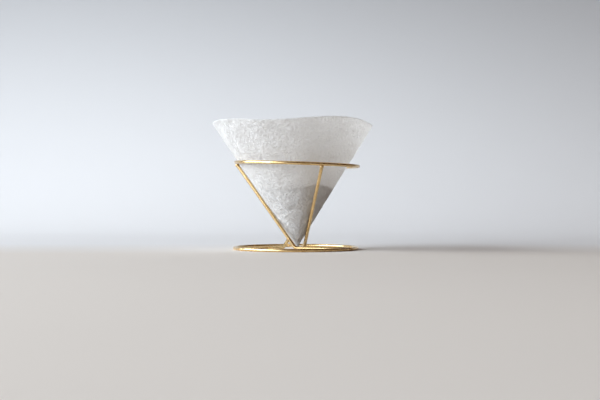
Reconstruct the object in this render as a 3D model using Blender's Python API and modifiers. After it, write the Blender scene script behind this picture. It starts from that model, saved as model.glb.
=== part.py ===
"""Pour over dripper: a brazed brass wire stand, with a paper cone filter and its bed of ground coffee.

Two wire hoops are joined by three legs. Each leg is one wire, bent once: it slopes down from the upper hoop
beside the cone, turns a tight corner near the middle, and runs on flat, in the same heading, as a spoke to
the base hoop. The three spokes pass the middle at a distance and leave it open for the coffee.

Metres, +Z up, front towards -Y. The origin is under the middle of the whole object, on the surface that
the base hoop rests on. Azimuths are in degrees from the front, growing towards +X.
"""

import math

import bmesh
import bpy
from mathutils import Euler, Matrix, Vector

# Wire stand
WIRE_R = 0.00125
HOOP_OUTER_R = 0.04715
HOOP_SPACING = 0.0626
UPPER_HOOP_TILT = 1.9
UPPER_HOOP_SIDE_STEP = 0.0010
FIRST_LEG_AZIMUTH = -96.9
LEG_TWIST = 102.7
FOOT_R = 0.0090
FEET_CENTRE = (-0.0010, -0.0006)
SPOKE_LIFT = 0.00015
CORNER_R = 0.0035
LEG_NAMES = ("left", "front", "rear")
BRASS_COLOUR = (0.80, 0.58, 0.27)
BRASS_ROUGHNESS = 0.3

# Brazed joints
UPPER_BEAD_R = 0.0021
UPPER_BEAD_DROP = 0.0005
BASE_BEAD_R = 0.00185
BASE_BEAD_RISE = 0.0006
LEG_BITE = 0.0004
CUTTER_REACH = 0.020
CUTTER_OVERLAP = 0.004
BEAD_SEGMENTS = 20
BEAD_RINGS = 12
FILLER_COLOUR = (0.74, 0.55, 0.30)
FILLER_ROUGHNESS = 0.4

# Paper cone filter
CONE_HALF_ANGLE = 32.7
CONE_DEPTH_RATIO = 0.868
CONE_LEAN = 1.16
CONE_TIP = (0.0007, 0.0002, 0.0008)
PAPER_THICKNESS = 0.0004
TIP_ROWS = ((0.0, 0.0011), (0.0009, 0.0017), (0.0022, 0.0020), (0.0040, 0.00257))
RIM_SLANTS = (
    (-90.0, 0.1123),
    (-66.0, 0.1136),
    (-12.0, 0.1092),
    (35.0, 0.1114),
    (85.0, 0.1079),
    (135.0, 0.1100),
    (180.0, 0.1090),
    (228.0, 0.1112),
    (270.0, 0.1123),
)
CONE_SIDES = 72
PAPER_COLOUR = (0.86, 0.85, 0.83)
PAPER_ROUGHNESS = 0.9

# Crimped side seam of the filter, folded back flat
SEAM_WIDTH = 0.006
SEAM_THICKNESS = 0.00035
SEAM_START_AZIMUTH = 259.0
SEAM_LOW_END = 0.020
SEAM_RIM_INSET = 0.0010
SEAM_ROWS = 7
SEAM_COLUMNS = 5
SEAM_COLOUR = (0.84, 0.83, 0.81)

# Ground coffee
BED_DEPTH = 0.0470
BED_MOUND = ((0.0, 0.0024), (0.40, 0.0020), (0.75, 0.0008))
BED_LOW_END = 0.005
BED_CLEARANCE = 0.0005
BED_STEPS = 48
COFFEE_COLOUR = (0.075, 0.040, 0.022)
COFFEE_ROUGHNESS = 0.95

# Whole object
GAP = 0.0003
CENTRE_SHIFT = 0.0023
HOOP_SEGMENTS = 72
HOOP_SIDES = 14
CORNER_STEPS = 6
ROD_BEVEL_STEPS = 4
MERGE_DISTANCE = 0.00001
EMPTY_SIZE = 0.01

HOOP_R = HOOP_OUTER_R - WIRE_R
BASE_Z = WIRE_R * math.cos(math.pi / HOOP_SIDES)
UPPER_Z = BASE_Z + HOOP_SPACING
SPOKE_Z = WIRE_R + SPOKE_LIFT
CONE_WIDE = math.tan(math.radians(CONE_HALF_ANGLE))
CONE_DEEP = CONE_WIDE * CONE_DEPTH_RATIO


def clear_scene():
    """Remove whatever objects the scene starts with."""
    for obj in list(bpy.data.objects):
        bpy.data.objects.remove(obj, do_unlink=True)


def new_collection(name):
    collection = bpy.data.collections.new(name)
    bpy.context.scene.collection.children.link(collection)
    return collection


def new_material(name, colour, roughness, metallic=0.0):
    material = bpy.data.materials.new(name)
    material.use_nodes = True
    shader = material.node_tree.nodes["Principled BSDF"]
    shader.inputs["Base Color"].default_value = (*colour, 1.0)
    shader.inputs["Roughness"].default_value = roughness
    shader.inputs["Metallic"].default_value = metallic
    return material


def place(obj, collection, parent, material=None):
    """Move an object into a collection, under a parent, with its own material."""
    for owner in list(obj.users_collection):
        owner.objects.unlink(obj)
    collection.objects.link(obj)
    obj.parent = parent
    if material is not None:
        obj.data.materials.clear()
        obj.data.materials.append(material)
    return obj


def empty(name, collection, parent=None, location=(0, 0, 0)):
    obj = bpy.data.objects.new(name, None)
    obj.empty_display_size = EMPTY_SIZE
    obj.location = location
    return place(obj, collection, parent)


def mesh_object(name, bm):
    mesh = bpy.data.meshes.new(name)
    bm.normal_update()
    bm.to_mesh(mesh)
    bm.free()
    mesh.shade_smooth()
    obj = bpy.data.objects.new(name, mesh)
    bpy.context.scene.collection.objects.link(obj)
    return obj


def around(radius, azimuth, height, centre=(0.0, 0.0)):
    """A point at a radius and azimuth about a vertical axis."""
    angle = math.radians(azimuth)
    return Vector((centre[0] + radius * math.sin(angle), centre[1] - radius * math.cos(angle), height))


def hoop(name, minor_radius):
    """A closed ring of round wire, whose lowest facet is level."""
    bpy.ops.mesh.primitive_torus_add(
        major_radius=HOOP_R,
        minor_radius=minor_radius,
        major_segments=HOOP_SEGMENTS,
        minor_segments=HOOP_SIDES,
    )
    obj = bpy.context.object
    obj.name = name
    obj.data.shade_smooth()
    return obj


def rod(name, points, radius):
    """A round wire along a line of points, as a closed mesh."""
    curve = bpy.data.curves.new(name, "CURVE")
    curve.dimensions = "3D"
    curve.bevel_depth = radius
    curve.bevel_resolution = ROD_BEVEL_STEPS
    curve.use_fill_caps = True
    spline = curve.splines.new("POLY")
    spline.points.add(len(points) - 1)
    for control, point in zip(spline.points, points):
        control.co = (*point, 1.0)
    source = bpy.data.objects.new(name + "_curve", curve)
    bpy.context.scene.collection.objects.link(source)
    depsgraph = bpy.context.evaluated_depsgraph_get()
    mesh = bpy.data.meshes.new_from_object(source.evaluated_get(depsgraph))
    bm = bmesh.new()
    bm.from_mesh(mesh)
    bmesh.ops.remove_doubles(bm, verts=bm.verts, dist=MERGE_DISTANCE)
    bmesh.ops.recalc_face_normals(bm, faces=bm.faces)
    obj = mesh_object(name, bm)
    obj.matrix_world = source.matrix_world
    bpy.data.objects.remove(source)
    bpy.data.meshes.remove(mesh)
    return obj


def cut(obj, *cutters):
    """Take each cutter's shape out of an object."""
    for cutter in cutters:
        boolean = obj.modifiers.new(cutter.name, "BOOLEAN")
        boolean.operation = "DIFFERENCE"
        boolean.solver = "EXACT"
        boolean.object = cutter


def as_cutter(obj, collection, parent):
    place(obj, collection, parent)
    obj.hide_render = True
    obj.display_type = "WIRE"
    return obj


def rounded_path(start, corner, end, radius):
    """Points from start to end by a corner that is turned with an arc."""
    back = (start - corner).normalized()
    ahead = (end - corner).normalized()
    half_angle = back.angle(ahead) / 2
    reach = radius / math.tan(half_angle)
    centre = corner + (back + ahead).normalized() * radius / math.sin(half_angle)
    first = corner + back * reach - centre
    axis = first.cross(corner + ahead * reach - centre)
    sweep = math.pi - 2 * half_angle
    turns = [Matrix.Rotation(sweep * k / CORNER_STEPS, 3, axis) for k in range(CORNER_STEPS + 1)]
    return [start, *(centre + turn @ first for turn in turns), end]


def leg_route(index):
    """The leg's join with the upper hoop, its corner, and its join with the base hoop."""
    azimuth = FIRST_LEG_AZIMUTH + 120.0 * index
    tilt = Euler((0.0, math.radians(UPPER_HOOP_TILT), 0.0)).to_matrix()
    on_hoop = tilt @ around(HOOP_R, azimuth, 0.0) + Vector((UPPER_HOOP_SIDE_STEP, 0.0, UPPER_Z))
    join = on_hoop - Vector((0.0, 0.0, WIRE_R))
    corner = around(FOOT_R, azimuth + LEG_TWIST, SPOKE_Z, FEET_CENTRE)
    heading = (corner - join).xy.normalized()
    along = corner.xy.dot(heading)
    reach = math.sqrt(along**2 + HOOP_R**2 - corner.xy.length_squared) - along
    spoke_end = corner + heading.to_3d() * reach
    return join, corner, spoke_end


def wire_brass(name):
    return new_material(name + "_brass", BRASS_COLOUR, BRASS_ROUGHNESS, 1.0)


def filler_brass(name):
    return new_material(name + "_filler", FILLER_COLOUR, FILLER_ROUGHNESS, 1.0)


def build_hoops(parts, cutters, stand):
    """The upper hoop, which leans a little to the right, and the level base hoop. Returns their cutters."""
    upper = place(hoop("upper_hoop", WIRE_R), parts, stand, wire_brass("upper_hoop"))
    base = place(hoop("base_hoop", WIRE_R), parts, stand, wire_brass("base_hoop"))
    upper_cutter = as_cutter(hoop("upper_hoop_clearance", WIRE_R + GAP), cutters, stand)
    base_cutter = as_cutter(hoop("base_hoop_clearance", WIRE_R + GAP), cutters, stand)
    for ring in (upper, upper_cutter):
        ring.location = (UPPER_HOOP_SIDE_STEP, 0.0, UPPER_Z)
        ring.rotation_euler = (0.0, math.radians(UPPER_HOOP_TILT), 0.0)
    for ring in (base, base_cutter):
        ring.location = (0.0, 0.0, BASE_Z)
    return upper_cutter, base_cutter


def build_leg(index, parts, cutters, stand, upper_cutter, base_cutter):
    """One leg with its spoke, and the brazed joint at each end."""
    side = LEG_NAMES[index]
    join, corner, spoke_end = leg_route(index)
    slope = (join - corner).normalized()
    outward = (spoke_end - corner).normalized()
    path = rounded_path(join + slope * LEG_BITE, corner, spoke_end, CORNER_R)
    leg = place(rod("leg_" + side, path, WIRE_R), parts, stand, wire_brass("leg_" + side))
    cut(leg, upper_cutter, base_cutter)

    run = [join - slope * CUTTER_REACH, join + slope * CUTTER_OVERLAP]
    leg_cutter = as_cutter(rod("leg_clearance_" + side, run, WIRE_R + GAP), cutters, stand)
    name = "upper_joint_" + side
    bead = bead_ball(name, UPPER_BEAD_R, join - slope * UPPER_BEAD_DROP)
    place(bead, parts, stand, filler_brass(name))
    cut(bead, upper_cutter, leg_cutter)

    run = [spoke_end - outward * CUTTER_REACH, spoke_end]
    spoke_cutter = as_cutter(rod("spoke_clearance_" + side, run, WIRE_R + GAP), cutters, stand)
    name = "base_joint_" + side
    bead_centre = spoke_end - outward * WIRE_R + Vector((0.0, 0.0, BASE_BEAD_RISE))
    bead = bead_ball(name, BASE_BEAD_R, bead_centre)
    place(bead, parts, stand, filler_brass(name))
    cut(bead, base_cutter, spoke_cutter)


def bead_ball(name, radius, centre):
    """The ball of brazing filler that the wires then hollow out."""
    bm = bmesh.new()
    bmesh.ops.create_uvsphere(bm, u_segments=BEAD_SEGMENTS, v_segments=BEAD_RINGS, radius=radius)
    obj = mesh_object(name, bm)
    obj.location = centre
    return obj


def rim_slant(azimuth):
    """Length of the paper from the tip to its cut edge, which waves gently round the cone."""
    azimuth = (azimuth + 90.0) % 360.0 - 90.0
    for (low, low_slant), (high, high_slant) in zip(RIM_SLANTS, RIM_SLANTS[1:]):
        if low <= azimuth <= high:
            ease = (1.0 - math.cos(math.pi * (azimuth - low) / (high - low))) / 2
            return low_slant + (high_slant - low_slant) * ease
    return RIM_SLANTS[0][1]


def wall_point(azimuth, depth):
    """A point of the cone's outer face, a distance up its axis from the tip, in the filter's own frame."""
    angle = math.radians(azimuth)
    return Vector((CONE_WIDE * math.sin(angle), -CONE_DEEP * math.cos(angle), 1.0)) * depth


def wall_normal(azimuth):
    along = wall_point(azimuth, 1.0)
    round_it = wall_point(azimuth + 0.5, 1.0) - wall_point(azimuth - 0.5, 1.0)
    return round_it.cross(along).normalized()


def rim_point(azimuth, inset=0.0):
    return wall_point(azimuth, 1.0).normalized() * (rim_slant(azimuth) - inset)


def loft(rows, closed):
    """Faces between rows of points that all run the same way round."""
    bm = bmesh.new()
    verts = [[bm.verts.new(point) for point in row] for row in rows]
    count = len(rows[0])
    for lower, upper in zip(verts, verts[1:]):
        for k in range(count if closed else count - 1):
            after = (k + 1) % count
            bm.faces.new((lower[k], lower[after], upper[after], upper[k]))
    return bm, verts


def thicken(obj, thickness, offset):
    solidify = obj.modifiers.new("thickness", "SOLIDIFY")
    solidify.thickness = thickness
    solidify.offset = offset
    solidify.use_even_offset = True


def build_paper(parts, seat):
    """The cone of paper: an oval cone with a small blunt tip and a wavy cut edge."""
    azimuths = [360.0 * k / CONE_SIDES for k in range(CONE_SIDES)]
    rows = []
    for depth, radius in TIP_ROWS:
        rows.append([around(radius, a, depth) for a in azimuths])
        for point in rows[-1]:
            point.y *= CONE_DEPTH_RATIO
    rows.append([rim_point(a) for a in azimuths])
    bm, verts = loft(rows, closed=True)
    bm.faces.new(reversed(verts[0]))
    paper = mesh_object("paper_filter", bm)
    place(paper, parts, seat, new_material("filter_paper", PAPER_COLOUR, PAPER_ROUGHNESS))
    thicken(paper, PAPER_THICKNESS, -1.0)


def seam_point(share_up, share_across):
    """A point of the seam's inner face, a share of the way up it and of the way across it."""
    depth = SEAM_LOW_END + (rim_point(SEAM_START_AZIMUTH).z - SEAM_LOW_END) * share_up
    reach = math.degrees(SEAM_WIDTH / (CONE_WIDE * depth))
    azimuth = SEAM_START_AZIMUTH - reach * share_across
    on_wall = rim_point(azimuth, SEAM_RIM_INSET) if share_up == 1.0 else wall_point(azimuth, depth)
    return on_wall + wall_normal(azimuth) * GAP


def build_seam(parts, seat):
    """The filter's crimped edge, folded round and lying flat against the back of the cone."""
    rows = []
    for row in range(SEAM_ROWS):
        across = [column / (SEAM_COLUMNS - 1) for column in reversed(range(SEAM_COLUMNS))]
        rows.append([seam_point(row / (SEAM_ROWS - 1), share) for share in across])
    bm, _ = loft(rows, closed=False)
    seam = mesh_object("filter_seam", bm)
    place(seam, parts, seat, new_material("seam_paper", SEAM_COLOUR, PAPER_ROUGHNESS))
    thicken(seam, SEAM_THICKNESS, 1.0)


def build_coffee(parts, seat):
    """The bed of ground coffee, a filled cone with a low mound on top."""
    clearance = (PAPER_THICKNESS + BED_CLEARANCE) / math.cos(math.radians(CONE_HALF_ANGLE))
    edge = CONE_WIDE * BED_DEPTH - clearance
    profile = [(edge * share, BED_DEPTH + rise) for share, rise in BED_MOUND]
    profile.append((edge, BED_DEPTH))
    profile.append((CONE_WIDE * BED_LOW_END - clearance, BED_LOW_END))
    profile.append((0.0, BED_LOW_END))

    bm = bmesh.new()
    verts = [bm.verts.new((radius, 0.0, height)) for radius, height in profile]
    for first, second in zip(verts, verts[1:]):
        bm.edges.new((first, second))
    coffee = mesh_object("coffee_grounds", bm)
    coffee.scale = (1.0, CONE_DEPTH_RATIO, 1.0)
    place(coffee, parts, seat, new_material("ground_coffee", COFFEE_COLOUR, COFFEE_ROUGHNESS))
    screw = coffee.modifiers.new("turned", "SCREW")
    screw.steps = BED_STEPS
    screw.render_steps = BED_STEPS
    screw.use_merge_vertices = True
    screw.merge_threshold = MERGE_DISTANCE
    screw.use_smooth_shade = True


def main():
    clear_scene()
    parts = new_collection("pour_over_dripper")
    cutters = new_collection("cutters")
    stand = empty("stand_origin", parts, location=(CENTRE_SHIFT, 0.0, 0.0))
    seat = empty("filter_seat", parts, stand, CONE_TIP)
    seat.rotation_euler = (0.0, math.radians(-CONE_LEAN), 0.0)
    upper_cutter, base_cutter = build_hoops(parts, cutters, stand)
    for index in range(len(LEG_NAMES)):
        build_leg(index, parts, cutters, stand, upper_cutter, base_cutter)
    build_paper(parts, seat)
    build_seam(parts, seat)
    build_coffee(parts, seat)


main()
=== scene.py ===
import math

import bmesh
import bpy
import numpy as np
from mathutils import Euler, Matrix, Vector, noise


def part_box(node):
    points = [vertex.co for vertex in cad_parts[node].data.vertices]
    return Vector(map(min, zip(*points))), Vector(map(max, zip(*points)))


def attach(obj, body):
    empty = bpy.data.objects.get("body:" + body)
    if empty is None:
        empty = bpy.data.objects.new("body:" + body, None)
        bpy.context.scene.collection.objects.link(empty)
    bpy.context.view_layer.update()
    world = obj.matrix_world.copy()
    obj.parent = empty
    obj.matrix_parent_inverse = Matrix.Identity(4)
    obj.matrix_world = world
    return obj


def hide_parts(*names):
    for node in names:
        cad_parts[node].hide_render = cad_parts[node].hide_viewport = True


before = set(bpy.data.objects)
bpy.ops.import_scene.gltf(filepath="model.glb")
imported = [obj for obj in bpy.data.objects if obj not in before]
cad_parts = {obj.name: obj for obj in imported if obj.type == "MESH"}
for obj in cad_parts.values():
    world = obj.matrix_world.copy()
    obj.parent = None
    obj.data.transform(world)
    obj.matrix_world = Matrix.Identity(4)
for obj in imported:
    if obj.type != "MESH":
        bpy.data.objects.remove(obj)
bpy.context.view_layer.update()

# Lengths are in metres. Azimuths are in degrees from the front, -Y, growing towards +X.

# Camera
EYE = Vector((0.00553, -0.9469, 0.04135))
PITCH_DOWN = 0.254
LENS = 75.72
SENSOR_WIDTH = 36.0

# Wire stand
WIRE_R = 0.00125
HOOP_R = 0.0459
UPPER_HOOP_TILT = 1.9
FIRST_LEG_AZIMUTH = -96.9
LEG_TWIST = 102.7
FOOT_R = 0.0090
FEET_CENTRE = Vector((-0.0010, -0.0006, 0.0))
SPOKE_LIFT = 0.00015
CORNER_R = 0.0035
LEG_NAMES = ("left", "front", "rear")
WIRE_SIDES = 28
HOOP_STATIONS = 320
LEG_STEP = 0.0006
WIRE_WANDER = 0.00007
WANDER_SCALE = 45.0
WANDER_SEED = 1
LEG_EMBED = 0.0002
CORNER_STEPS = 18
BASE_BUTT_AZIMUTH = -40.0
UPPER_BUTT_AZIMUTH = 150.0
BUTT_HALF_LENGTH = 0.0008
BUTT_SWELL = 0.00007

# Brazed joints
BRAZE_VOXEL = 0.00017
BRAZE_SKIN = 0.00012
BRAZE_FEATHER = 0.00010
BRAZE_RIPPLE = 0.00003
BRAZE_RIPPLE_SCALE = 900.0
STUB_STATIONS = 13
STUB_SIDES = 20
UPPER_STUB = 0.0040
SPOKE_STUB = 0.0036
HOOP_STUB_HALF = 0.0030
UPPER_BEAD_R = 0.00150
UPPER_BEAD_DROP = 0.00085
BASE_BEAD_R = 0.00145
BASE_BEAD_RISE = 0.00020

# Paper cone filter
CONE_HALF_ANGLE = 32.7
CONE_DEPTH_RATIO = 0.868
CONE_LEAN = 1.16
CONE_TIP = Vector((0.0007, 0.0002, 0.0008))
PAPER_THICKNESS = 0.00025
PAPER_COLUMNS = 400
PAPER_ROWS = 112
TIP_ROWS = ((0.0, 0.0003), (0.0, 0.0011), (0.0004, 0.0015), (0.0009, 0.0017), (0.0022, 0.0020))
WALL_START_DEPTH = 0.0040
RIM_SLANTS = (
    (-90.0, 0.1123),
    (-66.0, 0.1136),
    (-12.0, 0.1092),
    (35.0, 0.1114),
    (85.0, 0.1079),
    (135.0, 0.1100),
    (180.0, 0.1090),
    (228.0, 0.1112),
    (270.0, 0.1123),
)
RIM_RAGGEDNESS = 0.00012
RIM_RAGGED_SCALE = 260.0

# Paper relief. A flute is a count, its height at the rim and its phase. A crease is its azimuth at the
# rim, how far it turns on its way down to the hoop, its width and its height.
FLUTES = ((5, 0.00016, 0.4), (7, 0.00013, 2.1), (11, 0.00010, 4.0), (17, 0.00006, 1.3), (26, 0.00004, 5.2))
FLUTE_GROWTH = 1.3
CREASES = (
    (81.0, 0.0, 3.0, 0.00045),
    (261.0, 0.0, 3.0, 0.00045),
    (0.0, 9.0, 26.0, 0.00290),
    (25.0, 0.0, 8.0, 0.00040),
)
CREASE_SOFTNESS = 0.2
CREASE_GROWTH = 0.6
COCKLES = ((120.0, 0.00011), (330.0, 0.00005))
FREE_FRONT_HALF_ANGLE = 50.0
RELIEF_LIMIT = 0.00030
FREE_RELIEF_LIMIT = 0.00600
HOOP_SLANT = 0.0775
FREE_RAMP = 0.008
TIP_RAMP = 0.012

# Crimped side seam
SEAM_WIDTH = 0.006
SEAM_THICKNESS = 0.00030
SEAM_START_AZIMUTH = 259.0
SEAM_LOW_END = 0.012
SEAM_RIM_INSET = 0.0006
SEAM_LIFT = 0.00028
CRIMP_PITCH = 0.0013
CRIMP_DEPTH = 0.00011
CRIMP_SLANT = 0.7
SEAM_UNEVENNESS = 0.06
SEAM_CURL = 0.00025
SEAM_CURL_START = 0.75

# Ground coffee
BED_EDGE = (
    (-90.0, 0.0456),
    (-45.0, 0.0460),
    (0.0, 0.0459),
    (15.0, 0.0464),
    (26.0, 0.0481),
    (36.0, 0.0474),
    (44.0, 0.0470),
    (54.0, 0.0458),
    (69.0, 0.0442),
    (90.0, 0.0432),
    (135.0, 0.0450),
    (180.0, 0.0463),
    (225.0, 0.0455),
    (270.0, 0.0456),
)
BED_MIDDLE = 0.0462
BED_CROWN = 0.0020
BED_LUMPS = 0.0007
BED_REACH = 0.03
BED_ROUGH = 0.00028
BED_FINE_ROUGH = 0.00014
BED_LOW_END = 0.0003
BED_INSET = 0.00030
GRAIN_COUNT = 1500
GRAIN_SMALLEST = 0.00022
GRAIN_SPREAD = 0.00030

RIM_SLANT = RIM_SLANTS[0][1]
CONE_WIDE = math.tan(math.radians(CONE_HALF_ANGLE))
CONE_DEEP = CONE_WIDE * CONE_DEPTH_RATIO

base_low, base_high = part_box("base_hoop")
BASE_CENTRE = (base_low + base_high) / 2
BASE_CENTRE.z = base_low.z + WIRE_R
upper_low, upper_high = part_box("upper_hoop")
UPPER_CENTRE = (upper_low + upper_high) / 2
STAND_ORIGIN = Vector((BASE_CENTRE.x, BASE_CENTRE.y, 0.0))
SPOKE_Z = WIRE_R + SPOKE_LIFT
SEAT = Matrix.Translation(STAND_ORIGIN + CONE_TIP) @ Matrix.Rotation(math.radians(-CONE_LEAN), 4, "Y")


# ---------------------------------------------------------------- camera

def build_camera():
    data = bpy.data.cameras.new("camera")
    data.lens = LENS
    data.sensor_width = SENSOR_WIDTH
    camera = bpy.data.objects.new("camera", data)
    camera.location = EYE
    camera.rotation_euler = (math.radians(90.0 - PITCH_DOWN), 0.0, 0.0)
    bpy.context.scene.collection.objects.link(camera)
    bpy.context.scene.camera = camera


# ---------------------------------------------------------------- materials

class Nodes:
    """A short way to write a material's node tree."""

    def __init__(self, name):
        self.material = bpy.data.materials.new(name)
        self.material.use_nodes = True
        self.tree = self.material.node_tree
        self.shader = self.tree.nodes["Principled BSDF"]
        self.output = self.tree.nodes["Material Output"]
        self.coordinates = self.tree.nodes.new("ShaderNodeTexCoord")

    def add(self, kind, inputs=None, **settings):
        node = self.tree.nodes.new(kind)
        for key, value in settings.items():
            setattr(node, key, value)
        for key, value in (inputs or {}).items():
            if isinstance(value, bpy.types.NodeSocket):
                self.tree.links.new(value, node.inputs[key])
            else:
                node.inputs[key].default_value = value
        return node

    def link(self, source, target):
        self.tree.links.new(source, target)

    def math(self, operation, first, second=0.0):
        return self.add("ShaderNodeMath", {0: first, 1: second}, operation=operation).outputs[0]

    def noise(self, vector, scale, detail=3.0, roughness=0.55, distortion=0.0):
        inputs = {"Scale": scale, "Detail": detail, "Roughness": roughness, "Vector": vector}
        inputs["Distortion"] = distortion
        return self.add("ShaderNodeTexNoise", inputs).outputs["Fac"]

    def stretch(self, vector, scale):
        return self.add("ShaderNodeMapping", {"Vector": vector, "Scale": scale}).outputs["Vector"]

    def ramp(self, factor, *stops):
        """Colour stops as (position, colour)."""
        node = self.add("ShaderNodeValToRGB", {"Fac": factor})
        elements = node.color_ramp.elements
        while len(elements) < len(stops):
            elements.new(0.5)
        for element, (position, colour) in zip(elements, stops):
            element.position = position
            element.color = (*colour, 1.0)
        return node.outputs["Color"]

    def span(self, factor, low, high, from_low=0.0, from_high=1.0):
        inputs = {"Value": factor, "From Min": from_low, "From Max": from_high, "To Min": low, "To Max": high}
        return self.add("ShaderNodeMapRange", inputs).outputs["Result"]

    def mix(self, factor, first, second, blend="MIX"):
        node = self.add("ShaderNodeMix", data_type="RGBA", blend_type=blend)
        for socket, value in ((node.inputs[0], factor), (node.inputs[6], first), (node.inputs[7], second)):
            if isinstance(value, bpy.types.NodeSocket):
                self.link(value, socket)
            elif isinstance(value, tuple):
                socket.default_value = (*value, 1.0)
            else:
                socket.default_value = value
        return node.outputs[2]

    def bump(self, height, distance, normal=None):
        inputs = {"Height": height, "Distance": distance, "Strength": 1.0}
        if normal is not None:
            inputs["Normal"] = normal
        return self.add("ShaderNodeBump", inputs).outputs["Normal"]

    def along_wire(self):
        """A vector that runs along a wire in metres and round its girth without a seam."""
        uv = self.add("ShaderNodeUVMap", uv_map="wire").outputs["UV"]
        parts = self.add("ShaderNodeSeparateXYZ", {"Vector": uv})
        turn = self.math("MULTIPLY", parts.outputs["Y"], 2 * math.pi)
        inputs = {
            "X": self.math("MULTIPLY", self.math("SINE", turn), WIRE_R),
            "Y": self.math("MULTIPLY", self.math("COSINE", turn), WIRE_R),
            "Z": parts.outputs["X"],
        }
        return self.add("ShaderNodeCombineXYZ", inputs).outputs["Vector"]


def brass_material(name):
    """Lacquered drawn brass wire, lightly rubbed: fine streaks along it, faint blotches of tarnish."""
    n = Nodes(name)
    wire = n.along_wire()
    streaks = n.noise(n.stretch(wire, (1.0, 1.0, 0.035)), 5200.0, 4.0, 0.6)
    blotches = n.noise(n.coordinates.outputs["Object"], 95.0, 5.0, 0.62)
    specks = n.noise(n.coordinates.outputs["Object"], 900.0, 2.0, 0.5)
    tarnish = n.ramp(blotches, (0.38, (0.0, 0.0, 0.0)), (0.68, (1.0, 1.0, 1.0)))
    colour = n.mix(tarnish, (0.870, 0.650, 0.330), (0.640, 0.395, 0.140))
    colour = n.mix(n.span(streaks, 0.0, 0.28), colour, (0.860, 0.640, 0.330))
    colour = n.mix(n.span(specks, 0.0, 0.08, 0.58, 0.76), colour, (0.420, 0.250, 0.100))
    n.link(colour, n.shader.inputs["Base Color"])
    rough = n.math("ADD", n.span(streaks, 0.20, 0.29), n.span(tarnish, -0.02, 0.06))
    n.link(rough, n.shader.inputs["Roughness"])
    n.shader.inputs["Metallic"].default_value = 1.0
    n.shader.inputs["Coat Weight"].default_value = 0.5
    n.shader.inputs["Coat Roughness"].default_value = 0.18
    normal = n.bump(streaks, 0.000003)
    normal = n.bump(blotches, 0.000012, normal=normal)
    n.link(normal, n.shader.inputs["Normal"])
    return n.material


def filler_material():
    """Brazing filler: paler and duller than the wire, rippled, with patches of brown heat stain."""
    n = Nodes("brazing_filler")
    position = n.coordinates.outputs["Object"]
    ripple = n.noise(position, 1400.0, 4.0, 0.6, 0.4)
    stain = n.noise(position, 420.0, 3.0, 0.6)
    colour = n.ramp(
        stain,
        (0.30, (0.300, 0.175, 0.075)),
        (0.48, (0.720, 0.510, 0.240)),
        (0.70, (0.860, 0.660, 0.380)),
    )
    n.link(colour, n.shader.inputs["Base Color"])
    n.link(n.span(ripple, 0.30, 0.52), n.shader.inputs["Roughness"])
    n.shader.inputs["Metallic"].default_value = 1.0
    n.link(n.bump(ripple, 0.00006), n.shader.inputs["Normal"])
    return n.material


def paper_material(name, crimped=False):
    """Creped filter paper: cloudy fibre clumps, fine dimples, and light that comes through it."""
    n = Nodes(name)
    position = n.coordinates.outputs["Object"]
    flat = n.add("ShaderNodeUVMap", uv_map="flat").outputs["UV"]
    clouds = n.noise(position, 230.0, 4.0, 0.55)
    clumps = n.noise(position, 620.0, 3.0, 0.55)
    creping = n.noise(n.stretch(flat, (260.0, 900.0, 1.0)), 1.0, 3.0, 0.55)
    fibres = n.noise(n.stretch(flat, (3200.0, 1100.0, 1.0)), 1.0, 3.0, 0.6, 1.2)
    dimples = n.add("ShaderNodeTexVoronoi", {"Vector": position, "Scale": 560.0}, feature="SMOOTH_F1")

    density = n.math("ADD", n.math("MULTIPLY", clouds, 0.40), n.math("MULTIPLY", clumps, 0.60))
    white = n.ramp(density, (0.36, (0.850, 0.843, 0.833)), (0.60, (0.978, 0.976, 0.972)))
    white = n.mix(n.span(fibres, 0.0, 0.30, 0.5, 0.75), white, (0.790, 0.775, 0.755))
    n.link(white, n.shader.inputs["Base Color"])
    n.link(n.span(fibres, 0.82, 0.98), n.shader.inputs["Roughness"])
    n.shader.inputs["Specular IOR Level"].default_value = 0.25
    height = n.math("ADD", n.math("MULTIPLY", creping, 0.60), n.math("MULTIPLY", fibres, 0.06))
    height = n.math("ADD", height, n.math("MULTIPLY", dimples.outputs["Distance"], 1.10))
    height = n.math("ADD", height, n.math("MULTIPLY", clumps, 0.55))
    normal = n.bump(height, 0.00030 if crimped else 0.00054)
    n.link(normal, n.shader.inputs["Normal"])

    through = n.add("ShaderNodeBsdfTranslucent")
    warm = n.ramp(density, (0.30, (0.970, 0.960, 0.945)), (0.66, (0.900, 0.885, 0.860)))
    n.link(warm, through.inputs["Color"])
    n.link(normal, through.inputs["Normal"])
    blend = n.add("ShaderNodeMixShader")
    n.link(n.span(density, 0.72, 0.46, 0.38, 0.62), blend.inputs[0])
    n.link(n.shader.outputs[0], blend.inputs[1])
    n.link(through.outputs[0], blend.inputs[2])
    n.link(blend.outputs[0], n.output.inputs["Surface"])
    return n.material


def coffee_material():
    """Medium ground coffee: dark brown grains, with paler flakes of chaff among them."""
    n = Nodes("ground_coffee")
    position = n.coordinates.outputs["Object"]
    grains = n.add("ShaderNodeTexVoronoi", {"Vector": position, "Scale": 1300.0})
    tone = n.add("ShaderNodeSeparateColor", {"Color": grains.outputs["Color"]}).outputs[0]
    colour = n.ramp(
        tone,
        (0.0, (0.045, 0.021, 0.010)),
        (0.55, (0.120, 0.056, 0.024)),
        (0.90, (0.200, 0.100, 0.045)),
        (0.97, (0.400, 0.260, 0.140)),
    )
    fine = n.noise(position, 3400.0, 3.0, 0.6)
    colour = n.mix(n.span(fine, 0.0, 0.4), colour, (0.070, 0.034, 0.016))
    n.link(colour, n.shader.inputs["Base Color"])
    n.link(n.span(fine, 0.62, 0.92), n.shader.inputs["Roughness"])
    n.shader.inputs["Specular IOR Level"].default_value = 0.35
    height = n.math("MULTIPLY", grains.outputs["Distance"], -1.0)
    height = n.math("ADD", height, n.math("MULTIPLY", fine, 0.4))
    n.link(n.bump(height, 0.0003), n.shader.inputs["Normal"])
    return n.material


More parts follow.
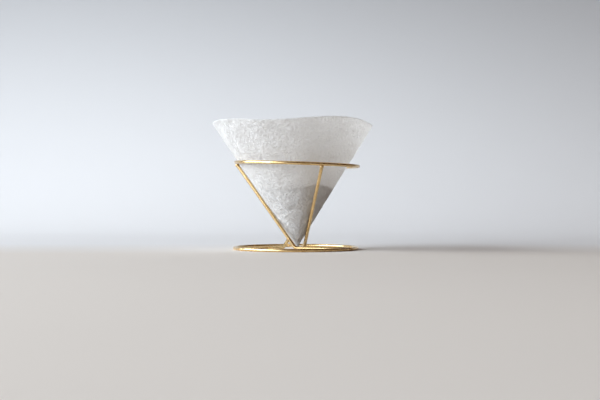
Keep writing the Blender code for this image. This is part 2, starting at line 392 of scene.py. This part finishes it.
def studio_material(name, near, floor, wall):
    """Plain matte paint that goes from pale wood to pale grey behind the object, and greyer up the wall."""
    n = Nodes(name)
    position = n.coordinates.outputs["Object"]
    place = n.add("ShaderNodeSeparateXYZ", {"Vector": position}).outputs
    colour = n.mix(n.span(place["Y"], 0.0, 1.0, -0.07, 0.11), near, floor)
    colour = n.mix(n.span(place["Z"], 0.0, 1.0, 0.0, 0.35), colour, wall)
    colour = n.mix(n.span(n.noise(position, 3.0), 0.0, 0.04, 0.3, 0.7), colour, (0.5, 0.5, 0.5))
    n.link(colour, n.shader.inputs["Base Color"])
    n.shader.inputs["Roughness"].default_value = 0.85
    n.shader.inputs["Specular IOR Level"].default_value = 0.15
    return n.material


# ---------------------------------------------------------------- mesh helpers

def link_mesh(name, points, faces, material, uv_name=None, uv=None):
    mesh = bpy.data.meshes.new(name)
    mesh.from_pydata([tuple(p) for p in points], [], faces)
    if uv is not None:
        layer = mesh.uv_layers.new(name=uv_name)
        layer.data.foreach_set("uv", np.asarray(uv, np.float32).ravel())
    mesh.materials.append(material)
    mesh.update()
    mesh.shade_smooth()
    obj = bpy.data.objects.new(name, mesh)
    bpy.context.scene.collection.objects.link(obj)
    return obj


def apply_modifiers(obj):
    """Keep the object's evaluated mesh and drop its modifiers."""
    bpy.context.view_layer.update()
    depsgraph = bpy.context.evaluated_depsgraph_get()
    mesh = bpy.data.meshes.new_from_object(obj.evaluated_get(depsgraph))
    obj.modifiers.clear()
    obj.data = mesh
    mesh.shade_smooth()
    return obj


def thicken(obj, thickness, offset):
    solidify = obj.modifiers.new("thickness", "SOLIDIFY")
    solidify.thickness = thickness
    solidify.offset = offset
    return apply_modifiers(obj)


def grid(columns, rows, closed):
    """Quads of a grid whose points are stored row by row, and each corner's (column, row)."""
    faces = []
    corners = []
    for row in range(rows - 1):
        for column in range(columns if closed else columns - 1):
            after = (column + 1) % columns
            here = row * columns
            above = here + columns
            faces.append((here + column, here + after, above + after, above + column))
            corners.extend(((column, row), (column + 1, row), (column + 1, row + 1), (column, row + 1)))
    return faces, corners


def around(radius, azimuth, height=0.0, centre=Vector((0.0, 0.0, 0.0))):
    angle = math.radians(azimuth)
    return centre + Vector((radius * math.sin(angle), -radius * math.cos(angle), height))


def hung(knots, azimuth):
    """A value read from (azimuth, value) knots, with smooth steps between them."""
    azimuth = (azimuth + 90.0) % 360.0 - 90.0
    for (low, low_value), (high, high_value) in zip(knots, knots[1:]):
        if low <= azimuth <= high:
            ease = (1.0 - math.cos(math.pi * (azimuth - low) / (high - low))) / 2
            return low_value + (high_value - low_value) * ease
    return knots[0][1]


# ---------------------------------------------------------------- brass wire

def wandered(points, seed):
    """Wire points with the slight unevenness of hand bending."""
    moved = []
    for point in points:
        drift = noise.noise_vector(point * WANDER_SCALE + Vector((seed, 0.0, 0.0)))
        moved.append(point + drift * WIRE_WANDER)
    return moved


def sweep(name, line, radii, material, closed=False, sides=WIRE_SIDES):
    """A round wire along a line of points, with its length and girth as its UV map."""
    count = len(line)
    ahead = [line[(i + 1) % count] if closed or i < count - 1 else line[i] for i in range(count)]
    back = [line[i - 1] if closed or i > 0 else line[i] for i in range(count)]
    tangents = [(a - b).normalized() for a, b in zip(ahead, back)]
    side = tangents[0].orthogonal().normalized()
    if closed:
        side = Vector((0.0, 0.0, 1.0))
    points = []
    travelled = [0.0]
    for i in range(count):
        side = (side - tangents[i] * side.dot(tangents[i])).normalized()
        other = tangents[i].cross(side)
        for k in range(sides):
            turn = 2 * math.pi * k / sides
            points.append(line[i] + (side * math.cos(turn) + other * math.sin(turn)) * radii[i])
        travelled.append(travelled[-1] + (line[(i + 1) % count] - line[i]).length)
    faces = []
    uv = []
    for i in range(count if closed else count - 1):
        j = (i + 1) % count
        for k in range(sides):
            m = (k + 1) % sides
            faces.append((i * sides + k, j * sides + k, j * sides + m, i * sides + m))
            uv += [(travelled[i], k / sides), (travelled[i + 1], k / sides)]
            uv += [(travelled[i + 1], (k + 1) / sides), (travelled[i], (k + 1) / sides)]
    faces = [tuple(reversed(f)) for f in faces]
    uv = [corner for f in range(0, len(uv), 4) for corner in reversed(uv[f:f + 4])]
    if not closed:
        first = tuple(range(sides))
        last = tuple(reversed(range((count - 1) * sides, count * sides)))
        faces += [first, last]
        uv += [(0.0, 0.0)] * (2 * sides)
    return link_mesh(name, points, faces, material, "wire", uv)


def hoop_point(which, azimuth):
    """A point on the centreline of the upper or the base hoop."""
    if which == "base":
        return around(HOOP_R, azimuth, 0.0, BASE_CENTRE)
    tilt = Euler((0.0, math.radians(UPPER_HOOP_TILT), 0.0)).to_matrix()
    return tilt @ around(HOOP_R, azimuth) + UPPER_CENTRE


def build_hoop(which, butt_azimuth, brass, filler):
    """A hoop of wire whose ends meet in a filed butt joint."""
    line = []
    radii = []
    for station in range(HOOP_STATIONS):
        turned = 360.0 * station / HOOP_STATIONS
        line.append(hoop_point(which, butt_azimuth + turned))
        from_butt = math.radians(min(turned, 360.0 - turned)) * HOOP_R
        radii.append(WIRE_R + BUTT_SWELL * math.exp(-((from_butt / BUTT_HALF_LENGTH) ** 2)))
    line = wandered(line, 11.0 if which == "base" else 23.0)
    hoop = sweep(which + "_hoop_wire", line, radii, brass, closed=True)
    hoop.data.materials.append(filler)
    stations = round(BUTT_HALF_LENGTH / (2 * math.pi * HOOP_R) * HOOP_STATIONS)
    for polygon in hoop.data.polygons:
        station = polygon.index // WIRE_SIDES
        if station < stations or station >= HOOP_STATIONS - stations:
            polygon.material_index = 1
    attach(hoop, "stand")
    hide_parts(which + "_hoop")
    return hoop


def leg_route(index):
    """The leg's join with the upper hoop, its corner, and its join with the base hoop."""
    azimuth = FIRST_LEG_AZIMUTH + 120.0 * index
    join = hoop_point("upper", azimuth) - Vector((0.0, 0.0, WIRE_R))
    corner = around(FOOT_R, azimuth + LEG_TWIST, SPOKE_Z, STAND_ORIGIN + FEET_CENTRE)
    heading = (corner - join).xy.normalized()
    place = (corner - STAND_ORIGIN).xy
    along = place.dot(heading)
    reach = math.sqrt(along**2 + HOOP_R**2 - place.length_squared) - along
    spoke_end = corner + heading.to_3d() * reach
    return join, corner, spoke_end


def spaced(start, end):
    """Evenly spaced points from start up to, but not at, end."""
    count = max(1, round((end - start).length / LEG_STEP))
    return [start.lerp(end, k / count) for k in range(count)]


def build_leg(index, brass):
    """One wire: it slopes down from the upper hoop, turns a corner and runs on flat as a spoke."""
    side = LEG_NAMES[index]
    join, corner, spoke_end = leg_route(index)
    back = (join - corner).normalized()
    ahead = (spoke_end - corner).normalized()
    half_angle = back.angle(ahead) / 2
    reach = CORNER_R / math.tan(half_angle)
    centre = corner + (back + ahead).normalized() * CORNER_R / math.sin(half_angle)
    first = corner + back * reach
    last = corner + ahead * reach
    axis = (first - centre).cross(last - centre)
    sweep_angle = math.pi - 2 * half_angle
    arc = []
    for k in range(CORNER_STEPS):
        turn = Matrix.Rotation(sweep_angle * k / CORNER_STEPS, 3, axis)
        arc.append(centre + turn @ (first - centre))
    line = spaced(join + back * LEG_EMBED, first) + arc + spaced(last, spoke_end) + [spoke_end]
    fade = [min(1.0, 0.02 + min(i, len(line) - 1 - i) / 8) for i in range(len(line))]
    loose = wandered(line, 31.0 + index)
    line = [a.lerp(b, share) for a, b, share in zip(line, loose, fade)]
    leg = sweep("leg_wire_" + side, line, [WIRE_R] * len(line), brass)
    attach(leg, "stand")
    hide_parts("leg_" + side)
    return leg


def stub(line, middle):
    """A short length of wire, a little proud at one station and under the skin at its far end."""
    radii = []
    for i in range(len(line)):
        away = abs(i - middle) / max(middle, len(line) - 1 - middle)
        radii.append(WIRE_R + BRAZE_SKIN - (BRAZE_SKIN + BRAZE_FEATHER) * away ** 1.5)
    return line, radii


def build_joint(name, stubs, bead_centre, bead_r, filler):
    """A brazed fillet: the wires' stubs and a bead, melted together into one smooth skin."""
    parts = [sweep("stub", line, radii, filler, sides=STUB_SIDES) for line, radii in stubs]
    bm = bmesh.new()
    for part in parts:
        bm.from_mesh(part.data)
        bpy.data.objects.remove(part)
    place = Matrix.Translation(bead_centre)
    bmesh.ops.create_icosphere(bm, subdivisions=3, radius=bead_r, matrix=place)
    mesh = bpy.data.meshes.new(name)
    bm.to_mesh(mesh)
    bm.free()
    mesh.materials.clear()
    mesh.materials.append(filler)
    joint = bpy.data.objects.new(name, mesh)
    bpy.context.scene.collection.objects.link(joint)
    remesh = joint.modifiers.new("melt", "REMESH")
    remesh.mode = "VOXEL"
    remesh.voxel_size = BRAZE_VOXEL
    smooth = joint.modifiers.new("flow", "SMOOTH")
    smooth.factor = 0.5
    smooth.iterations = 9
    apply_modifiers(joint)
    for vertex in joint.data.vertices:
        swell = noise.noise(vertex.co * BRAZE_RIPPLE_SCALE)
        vertex.co += vertex.normal * (BRAZE_RIPPLE * swell)
    joint.data.update()
    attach(joint, "stand")
    return joint


def build_joints(index, filler):
    """Where the leg meets the upper hoop from below, and where its spoke meets the base hoop."""
    side = LEG_NAMES[index]
    join, corner, spoke_end = leg_route(index)
    slope = (join - corner).normalized()
    outward = (spoke_end - corner).normalized()
    end_place = spoke_end - STAND_ORIGIN
    end_azimuth = math.degrees(math.atan2(end_place.x, -end_place.y))
    half_turn = math.degrees(HOOP_STUB_HALF / HOOP_R)
    shares = [k / (STUB_STATIONS - 1) for k in range(STUB_STATIONS)]
    base_arc = [hoop_point("base", end_azimuth + half_turn * (2 * share - 1)) for share in shares]

    def run(start, direction, length):
        return [start + direction * (length * share) for share in shares]

    upper = build_joint(
        "upper_braze_" + side,
        [stub(run(join, -slope, UPPER_STUB), 0)],
        join - slope * UPPER_BEAD_DROP,
        UPPER_BEAD_R,
        filler,
    )
    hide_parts("upper_joint_" + side)
    base = build_joint(
        "base_braze_" + side,
        [
            stub(base_arc, STUB_STATIONS // 2),
            stub(run(spoke_end - outward * WIRE_R, -outward, SPOKE_STUB), 0),
        ],
        spoke_end - outward * WIRE_R + Vector((0.0, 0.0, BASE_BEAD_RISE)),
        BASE_BEAD_R,
        filler,
    )
    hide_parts("base_joint_" + side)


# ---------------------------------------------------------------- paper filter

def wall_direction(azimuth):
    """Unit vector up the cone's wall at an azimuth, in the filter's own frame."""
    angle = math.radians(azimuth)
    return Vector((CONE_WIDE * math.sin(angle), -CONE_DEEP * math.cos(angle), 1.0)).normalized()


def wall_normal(azimuth):
    round_it = wall_direction(azimuth + 0.5) - wall_direction(azimuth - 0.5)
    return round_it.cross(wall_direction(azimuth)).normalized()


def paper_relief(azimuth, slant, point):
    """How far the wall stands proud of a plain cone: fold creases, soft flutes and cockling."""
    share = slant / RIM_SLANT
    angle = math.radians(azimuth)
    relief = 0.0
    for count, height, phase in FLUTES:
        relief += height * math.cos(count * angle + phase) * share ** FLUTE_GROWTH
    below_rim = min(1.0, max(0.0, (RIM_SLANT - slant) / (RIM_SLANT - HOOP_SLANT)))
    for middle, turned, width, height in CREASES:
        away = (azimuth - middle - turned * below_rim + 180.0) % 360.0 - 180.0
        away = math.hypot(away / width, CREASE_SOFTNESS) - CREASE_SOFTNESS
        relief += height * math.exp(-away) * share ** CREASE_GROWTH
    for scale, height in COCKLES:
        relief += height * noise.noise(point * scale)
    freed = min(1.0, max(0.0, (slant - HOOP_SLANT) / FREE_RAMP))
    from_front = (azimuth + 180.0) % 360.0 - 180.0
    freed = max(freed, math.exp(-((from_front / FREE_FRONT_HALF_ANGLE) ** 4)))
    limit = RELIEF_LIMIT + (FREE_RELIEF_LIMIT - RELIEF_LIMIT) * freed
    return limit * math.tanh(relief / limit) * min(1.0, slant / TIP_RAMP)


def paper_point(azimuth, slant, proud=0.0):
    direction = wall_direction(azimuth)
    normal = wall_normal(azimuth)
    point = direction * slant
    return point + normal * (paper_relief(azimuth, slant, point) + proud)


def rim_slant(azimuth):
    ragged = noise.noise(around(0.05, azimuth) * RIM_RAGGED_SCALE) * RIM_RAGGEDNESS
    return hung(RIM_SLANTS, azimuth) + ragged


def flat_place(azimuth, slant):
    """Where a point of the wall lies on the flat sheet that the cone is rolled from."""
    turn = math.radians(azimuth) * math.sin(math.radians(CONE_HALF_ANGLE)) * (1 + CONE_DEPTH_RATIO) / 2
    return slant * math.sin(turn), slant * math.cos(turn)


def build_paper(material):
    azimuths = [360.0 * k / PAPER_COLUMNS - 90.0 for k in range(PAPER_COLUMNS + 1)]
    points = []
    places = {}
    row = 0
    for depth, radius in TIP_ROWS:
        for column, azimuth in enumerate(azimuths):
            if column < PAPER_COLUMNS:
                point = around(radius, azimuth, depth)
                point.y *= CONE_DEPTH_RATIO
                points.append(SEAT @ point)
            places[column, row] = flat_place(azimuth, radius + depth)
        row += 1
    for k in range(PAPER_ROWS + 1):
        for column, azimuth in enumerate(azimuths):
            start = WALL_START_DEPTH / wall_direction(azimuth).z
            slant = start + (rim_slant(azimuth) - start) * k / PAPER_ROWS
            if column < PAPER_COLUMNS:
                points.append(SEAT @ paper_point(azimuth, slant))
            places[column, row] = flat_place(azimuth, slant)
        row += 1
    faces, corners = grid(PAPER_COLUMNS, row, closed=True)
    uv = [places[corner] for corner in corners]
    faces.append(tuple(reversed(range(PAPER_COLUMNS))))
    uv += [(0.0, 0.0)] * PAPER_COLUMNS
    paper = link_mesh("cone_paper", points, faces, material, "flat", uv)
    thicken(paper, PAPER_THICKNESS, -1.0)
    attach(paper, "filter")
    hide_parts("paper_filter")
    return paper


def build_seam(material):
    """The crimped edge: two layers pressed together with fine slanting ribs, folded back on the wall."""
    columns, rows = 13, 320
    top = rim_slant(SEAM_START_AZIMUTH) - SEAM_RIM_INSET
    points = []
    places = {}
    for row in range(rows):
        slant = SEAM_LOW_END + (top - SEAM_LOW_END) * row / (rows - 1)
        width = SEAM_WIDTH * (1.0 + SEAM_UNEVENNESS * noise.noise(Vector((slant * 90.0, 0.0, 3.0))))
        around_here = slant * wall_direction(SEAM_START_AZIMUTH).xy.length
        for column in range(columns):
            share = column / (columns - 1)
            azimuth = SEAM_START_AZIMUTH - math.degrees(width * share / around_here)
            across = width * share
            phase = 2 * math.pi * (slant + across * CRIMP_SLANT) / CRIMP_PITCH
            pressed = math.sin(math.pi * min(1.0, max(0.0, (share - 0.12) / 0.76)))
            crimp = CRIMP_DEPTH * math.sin(phase) * pressed
            edge_curl = SEAM_CURL * max(0.0, share - SEAM_CURL_START) / (1.0 - SEAM_CURL_START)
            points.append(SEAT @ paper_point(azimuth, slant, SEAM_LIFT + crimp + edge_curl))
            places[column, row] = (across, slant)
    faces, corners = grid(columns, rows, closed=False)
    faces = [tuple(reversed(face)) for face in faces]
    uv = [places[corner] for k in range(0, len(corners), 4) for corner in reversed(corners[k:k + 4])]
    seam = link_mesh("crimped_seam", points, faces, material, "flat", uv)
    thicken(seam, SEAM_THICKNESS, 1.0)
    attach(seam, "filter")
    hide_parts("filter_seam")
    return seam


# ---------------------------------------------------------------- ground coffee

def bed_height(azimuth, share):
    """Depth of the coffee's top along the cone's axis, at a share of the way out to the paper."""
    edge = hung(BED_EDGE, azimuth)
    middle = BED_MIDDLE + BED_CROWN
    ease = share ** 2.2
    height = middle + (edge - middle) * ease
    place = around(share * BED_REACH, azimuth)
    height += BED_LUMPS * noise.noise(place * 140.0) * (1.0 - ease * 0.6)
    return height


def coffee_side(azimuth, depth):
    """A point of the coffee's side, just inside the paper."""
    direction = wall_direction(azimuth)
    slant = depth / direction.z
    return paper_point(azimuth, slant, -BED_INSET)


def build_coffee(material):
    columns, side_rows, top_rows = 220, 46, 44
    azimuths = [360.0 * k / columns for k in range(columns)]
    rows = []
    for depth, radius in TIP_ROWS[2:]:
        tip_row = [around(radius - BED_INSET, azimuth, depth + BED_LOW_END) for azimuth in azimuths]
        for point in tip_row:
            point.y *= CONE_DEPTH_RATIO
        rows.append(tip_row)
    for k in range(side_rows):
        row = []
        for azimuth in azimuths:
            edge = bed_height(azimuth, 1.0)
            depth = WALL_START_DEPTH + (edge - WALL_START_DEPTH) * k / (side_rows - 1)
            row.append(coffee_side(azimuth, depth))
        rows.append(row)
    rim = rows[-1]
    for k in range(1, top_rows):
        share = 1.0 - k / top_rows
        row = []
        for azimuth, outer in zip(azimuths, rim):
            point = Vector((outer.x * share, outer.y * share, bed_height(azimuth, share)))
            rough = noise.noise(Vector((point.x, point.y, 0.0)) * 1300.0)
            finer = noise.noise(Vector((point.x, point.y, 0.5)) * 2600.0)
            fade = min(1.0, k / 3)
            point.z += (BED_ROUGH * rough + BED_FINE_ROUGH * finer) * fade
            row.append(point)
        rows.append(row)
    points = [SEAT @ point for row in rows for point in row]
    faces, _ = grid(columns, len(rows), closed=True)
    faces.append(tuple(reversed(range(columns))))
    last = (len(rows) - 1) * columns
    faces.append(tuple(range(last, last + columns)))
    coffee = link_mesh("coffee_bed", points, faces, material)
    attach(coffee, "filter")
    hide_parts("coffee_grounds")
    return coffee


def build_grains(material):
    """Loose grains lying on the bed, each a small broken chip."""
    random = np.random.default_rng(7)
    bm = bmesh.new()
    for _ in range(GRAIN_COUNT):
        azimuth = float(random.uniform(0.0, 360.0))
        share = 0.96 * math.sqrt(float(random.uniform(0.0, 1.0)))
        size = GRAIN_SMALLEST + GRAIN_SPREAD * float(random.uniform(0.0, 1.0)) ** 2
        outer = coffee_side(azimuth, bed_height(azimuth, 1.0))
        share = min(share, 1.0 - 1.6 * size / outer.xy.length)
        centre = Vector((outer.x * share, outer.y * share, bed_height(azimuth, share) + size * 0.35))
        turn = Euler(tuple(float(a) for a in random.uniform(0.0, 2 * math.pi, 3))).to_matrix().to_4x4()
        width = float(random.uniform(0.6, 1.0))
        depth = float(random.uniform(0.45, 0.9))
        flatten = Matrix.Diagonal((1.0, width, depth, 1.0))
        place = Matrix.Translation(centre) @ turn @ flatten
        made = bmesh.ops.create_icosphere(bm, subdivisions=1, radius=size, matrix=place)
        for vert in made["verts"]:
            vert.co += Vector(tuple(float(a) for a in random.uniform(-0.16, 0.16, 3))) * size
    mesh = bpy.data.meshes.new("loose_grains")
    bmesh.ops.transform(bm, matrix=SEAT, verts=bm.verts)
    bm.to_mesh(mesh)
    bm.free()
    mesh.materials.append(material)
    grains = bpy.data.objects.new("loose_grains", mesh)
    bpy.context.scene.collection.objects.link(grains)
    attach(grains, "filter")
    return grains


# ---------------------------------------------------------------- studio

def build_studio():
    """A pale sheet that runs along the floor and curves up behind."""
    front, bend, radius, top, left, right = -0.86, 0.35, 0.45, 1.9, -1.3, 0.75
    profile = [(front, 0.0), (bend, 0.0)]
    for k in range(1, 25):
        angle = math.pi / 2 * k / 24
        profile.append((bend + radius * math.sin(angle), radius * (1 - math.cos(angle))))
    profile.append((bend + radius, top))
    points = [(x, y, z) for y, z in profile for x in (left, right)]
    faces, _ = grid(2, len(profile), closed=False)
    paint = studio_material("studio_paint", (0.78, 0.73, 0.67), (0.86, 0.86, 0.86), (0.42, 0.42, 0.425))
    sweep_sheet = link_mesh("backdrop", points, faces, paint)


def area_light(name, location, target, size, power, colour, spread=180.0):
    data = bpy.data.lights.new(name, "AREA")
    data.shape = "RECTANGLE"
    data.spread = math.radians(spread)
    data.size = size[0]
    data.size_y = size[1]
    data.energy = power
    data.color = colour
    light = bpy.data.objects.new(name, data)
    light.location = location
    light.rotation_euler = (Vector(target) - Vector(location)).to_track_quat("-Z", "Y").to_euler()
    bpy.context.scene.collection.objects.link(light)
    return light


def build_lights():
    cool = (0.84, 0.92, 1.0)
    area_light("window", (-1.6, -0.50, 0.80), (0.0, -0.50, 0.60), (2.2, 1.6), 42.0, cool, 120.0)
    area_light("near_window", (-1.50, -1.50, 0.60), (0.0, 0.0, 0.05), (1.5, 0.7), 21.0, cool)
    area_light("wall_wash", (-1.0, 0.1, 0.9), (0.08, 0.8, 0.08), (0.5, 0.5), 0.80, cool, 55.0)
    world = bpy.data.worlds.new("studio")
    world.use_nodes = True
    world.node_tree.nodes["Background"].inputs["Color"].default_value = (0.11, 0.06, 0.03, 1.0)
    bpy.context.scene.world = world
    bpy.context.scene.view_settings.view_transform = "Standard"


def main():
    noise.seed_set(WANDER_SEED)
    build_camera()
    filler = filler_material()
    build_hoop("upper", UPPER_BUTT_AZIMUTH, brass_material("upper_hoop_brass"), filler)
    build_hoop("base", BASE_BUTT_AZIMUTH, brass_material("base_hoop_brass"), filler)
    leg_brass = brass_material("leg_brass")
    for index in range(len(LEG_NAMES)):
        build_leg(index, leg_brass)
        build_joints(index, filler)
    paper = build_paper(paper_material("filter_paper"))
    seam = build_seam(paper_material("seam_paper", crimped=True))
    grounds = coffee_material()
    build_coffee(grounds)
    build_grains(grounds)
    build_studio()
    build_lights()


main()
